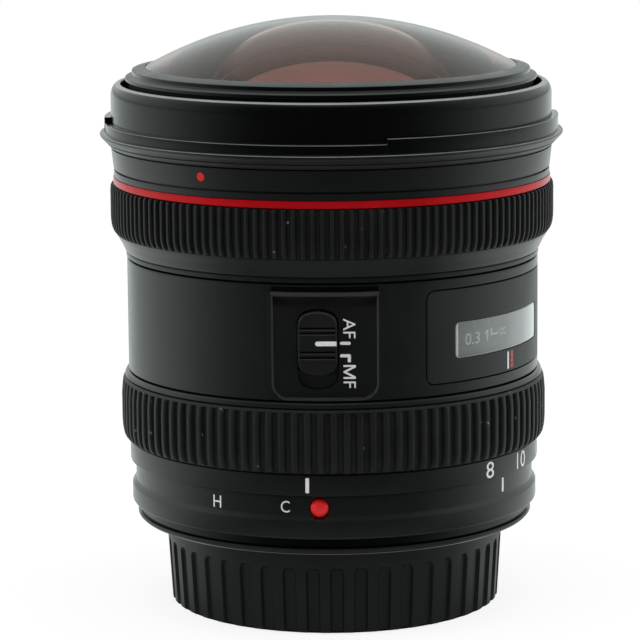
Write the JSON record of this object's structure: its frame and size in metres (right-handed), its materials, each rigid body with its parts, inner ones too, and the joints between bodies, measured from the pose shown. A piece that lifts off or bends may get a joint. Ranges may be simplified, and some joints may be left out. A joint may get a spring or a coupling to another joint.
{
  "type": "fisheye zoom lens",
  "caption": "Compact fisheye zoom lens with ribbed zoom and focus rings, focus switch, distance window, domed front glass, red trim ring and a fluted rear cap on its bayonet.",
  "frame": {"origin": "middle of the rear cap's closed end, on which the lens stands", "axes": "+Z along the optical axis towards the front element, -Y towards the side with the focus switch, +X to the right of it"},
  "size_m": [0.0785, 0.0784, 0.0999],
  "materials": {
    "black_paint": "satin black paint",
    "black_plastic": "moulded black plastic",
    "grip_rubber": "ribbed black rubber",
    "red_trim": "bright red lacquer",
    "red_bead": "glossy red bead",
    "chrome_mount": "polished hard chrome",
    "black_aluminium": "black anodised",
    "steel": "machined",
    "brass": "machined",
    "optical_glass": "coated, polished",
    "clear_pane": "clear, polished",
    "board": "solder mask"
  },
  "bodies": {
    "barrel": {"main_barrel": "black_paint", "window_panel": "black_plastic", "distance_window": "clear_pane", "chassis_barrel": "black_aluminium", "rear_barrel_ring": "black_paint", "mount_index_bead": "red_bead", "mount_gasket": "grip_rubber", "bayonet_mount": "chrome_mount", "mount_screws": "steel", "contact_block": "black_plastic", "contact_pins": "brass", "main_board": "board", "guide_barrel": "black_aluminium", "gel_filter_frame": "black_plastic", "front_barrel": "black_paint", "front_barrel_screws": "steel", "name_ring": "black_paint", "trim_ring": "red_trim", "usm_stator": "brass", "usm_pressure_spring": "steel"},
    "focus_ring": {"focus_ring_shell": "black_paint", "focus_ring_rubber": "grip_rubber", "manual_drive_ring": "black_aluminium"},
    "motor_rotor": {"usm_rotor": "steel"},
    "focus_output": {"roller_carrier": "black_aluminium", "distance_drum": "black_paint", "focus_cam_ring": "black_aluminium"},
    "roller_1": {"focus_roller_1": "steel"},
    "roller_2": {"focus_roller_2": "steel"},
    "roller_3": {"focus_roller_3": "steel"},
    "focus_group": {"focus_cell": "black_aluminium", "focus_element_front": "optical_glass", "focus_element_rear": "optical_glass", "focus_cam_pins": "brass"},
    "zoom_ring": {"zoom_ring_shell": "black_paint", "zoom_ring_rubber": "grip_rubber", "cam_barrel": "black_aluminium", "zoom_drive_key": "black_aluminium"},
    "front_group": {"front_cell": "black_aluminium", "front_element": "optical_glass", "second_element": "optical_glass", "front_retaining_ring": "black_paint", "front_cam_pins": "brass"},
    "rear_group": {"rear_cell": "black_aluminium", "rear_element_front": "optical_glass", "rear_element_rear": "optical_glass", "iris_base": "black_plastic", "iris_motor": "steel", "rear_cam_pins": "brass"},
    "iris_ring": {"iris_drive_ring": "black_aluminium"},
    "af_switch": {"af_switch_knob": "black_plastic"},
    "rear_cap": {"rear_cap": "black_plastic"},
    "blade_1": {"iris_blade_1": "steel"},
    "blade_2": {"iris_blade_2": "steel"},
    "blade_3": {"iris_blade_3": "steel"},
    "blade_4": {"iris_blade_4": "steel"},
    "blade_5": {"iris_blade_5": "steel"},
    "blade_6": {"iris_blade_6": "steel"},
    "blade_7": {"iris_blade_7": "steel"}
  },
  "joints": [
    {"name": "zoom_ring_turn", "type": "hinge", "parent": "barrel", "child": "zoom_ring", "pos_m": [0, 0, 0.034], "axis": [0, 0, 1], "range_deg": [-42, 6]},
    {"name": "front_group_slide", "type": "slide", "parent": "barrel", "child": "front_group", "axis": [0, 0, 1], "range_m": [-0.0026, 0.0004]},
    {"name": "rear_group_slide", "type": "slide", "parent": "barrel", "child": "rear_group", "axis": [0, 0, 1], "range_m": [-0.0009, 0.0061]},
    {"name": "focus_ring_turn", "type": "hinge", "parent": "barrel", "child": "focus_ring", "pos_m": [0, 0, 0.066], "axis": [0, 0, 1], "range_deg": [0, 44]},
    {"name": "focus_output_turn", "type": "hinge", "parent": "barrel", "child": "focus_output", "pos_m": [0, 0, 0.052], "axis": [0, 0, 1], "range_deg": [0, 22]},
    {"name": "focus_group_slide", "type": "slide", "parent": "barrel", "child": "focus_group", "axis": [0, 0, 1], "range_m": [0, 0.0026]},
    {"name": "roller_1_spin", "type": "hinge", "parent": "focus_output", "child": "roller_1", "pos_m": [0.00961, -0.02641, 0.05195], "axis": [0.342, -0.9397, 0], "range_deg": [-445, 0]},
    {"name": "roller_2_spin", "type": "hinge", "parent": "focus_output", "child": "roller_2", "pos_m": [0.01806, 0.02153, 0.05195], "axis": [0.6428, 0.766, 0], "range_deg": [-445, 0]},
    {"name": "roller_3_spin", "type": "hinge", "parent": "focus_output", "child": "roller_3", "pos_m": [-0.02767, 0.00488, 0.05195], "axis": [-0.9848, 0.1736, 0], "range_deg": [-445, 0]},
    {"name": "motor_rotor_turn", "type": "hinge", "parent": "barrel", "child": "motor_rotor", "pos_m": [0, 0, 0.049], "axis": [0, 0, 1], "range_deg": [0, 44]},
    {"name": "iris_ring_turn", "type": "hinge", "parent": "rear_group", "child": "iris_ring", "pos_m": [0, 0, 0.0373], "axis": [0, 0, 1], "range_deg": [0, 2.8]},
    {"name": "blade_1_swing", "type": "hinge", "parent": "rear_group", "child": "blade_1", "pos_m": [0, -0.0154, 0.036], "axis": [0, 0, 1], "range_deg": [0, 25]},
    {"name": "blade_2_swing", "type": "hinge", "parent": "rear_group", "child": "blade_2", "pos_m": [0.01204, -0.0096, 0.036], "axis": [0, 0, 1], "range_deg": [0, 25]},
    {"name": "blade_3_swing", "type": "hinge", "parent": "rear_group", "child": "blade_3", "pos_m": [0.01501, 0.00343, 0.036], "axis": [0, 0, 1], "range_deg": [0, 25]},
    {"name": "blade_4_swing", "type": "hinge", "parent": "rear_group", "child": "blade_4", "pos_m": [0.00668, 0.01387, 0.036], "axis": [0, 0, 1], "range_deg": [0, 25]},
    {"name": "blade_5_swing", "type": "hinge", "parent": "rear_group", "child": "blade_5", "pos_m": [-0.00668, 0.01387, 0.036], "axis": [0, 0, 1], "range_deg": [0, 25]},
    {"name": "blade_6_swing", "type": "hinge", "parent": "rear_group", "child": "blade_6", "pos_m": [-0.01501, 0.00343, 0.036], "axis": [0, 0, 1], "range_deg": [0, 25]},
    {"name": "blade_7_swing", "type": "hinge", "parent": "rear_group", "child": "blade_7", "pos_m": [-0.01204, -0.0096, 0.036], "axis": [0, 0, 1], "range_deg": [0, 25]},
    {"name": "af_switch_slide", "type": "slide", "parent": "barrel", "child": "af_switch", "axis": [0, 0, 1], "range_m": [-0.0021, 0]},
    {"name": "rear_cap_twist", "type": "hinge", "parent": "barrel", "child": "rear_cap", "pos_m": [0, 0, 0.0144], "axis": [0, 0, 1], "range_deg": [0, 60]}
  ],
  "couplings": [
    {"joint": "front_group_slide", "follows": "zoom_ring_turn", "m_per_rad": 0.0034377},
    {"joint": "rear_group_slide", "follows": "zoom_ring_turn", "m_per_rad": -0.0081933},
    {"joint": "focus_output_turn", "follows": "focus_ring_turn", "ratio": 0.5},
    {"joint": "focus_group_slide", "follows": "focus_ring_turn", "m_per_rad": 0.0032659},
    {"joint": "roller_1_spin", "follows": "focus_ring_turn", "ratio": -10.036},
    {"joint": "roller_2_spin", "follows": "focus_ring_turn", "ratio": -10.036},
    {"joint": "roller_3_spin", "follows": "focus_ring_turn", "ratio": -10.036},
    {"joint": "blade_1_swing", "follows": "iris_ring_turn", "ratio": 8.9},
    {"joint": "blade_2_swing", "follows": "iris_ring_turn", "ratio": 8.9},
    {"joint": "blade_3_swing", "follows": "iris_ring_turn", "ratio": 8.9},
    {"joint": "blade_4_swing", "follows": "iris_ring_turn", "ratio": 8.9},
    {"joint": "blade_5_swing", "follows": "iris_ring_turn", "ratio": 8.9},
    {"joint": "blade_6_swing", "follows": "iris_ring_turn", "ratio": 8.9},
    {"joint": "blade_7_swing", "follows": "iris_ring_turn", "ratio": 8.9}
  ]
}
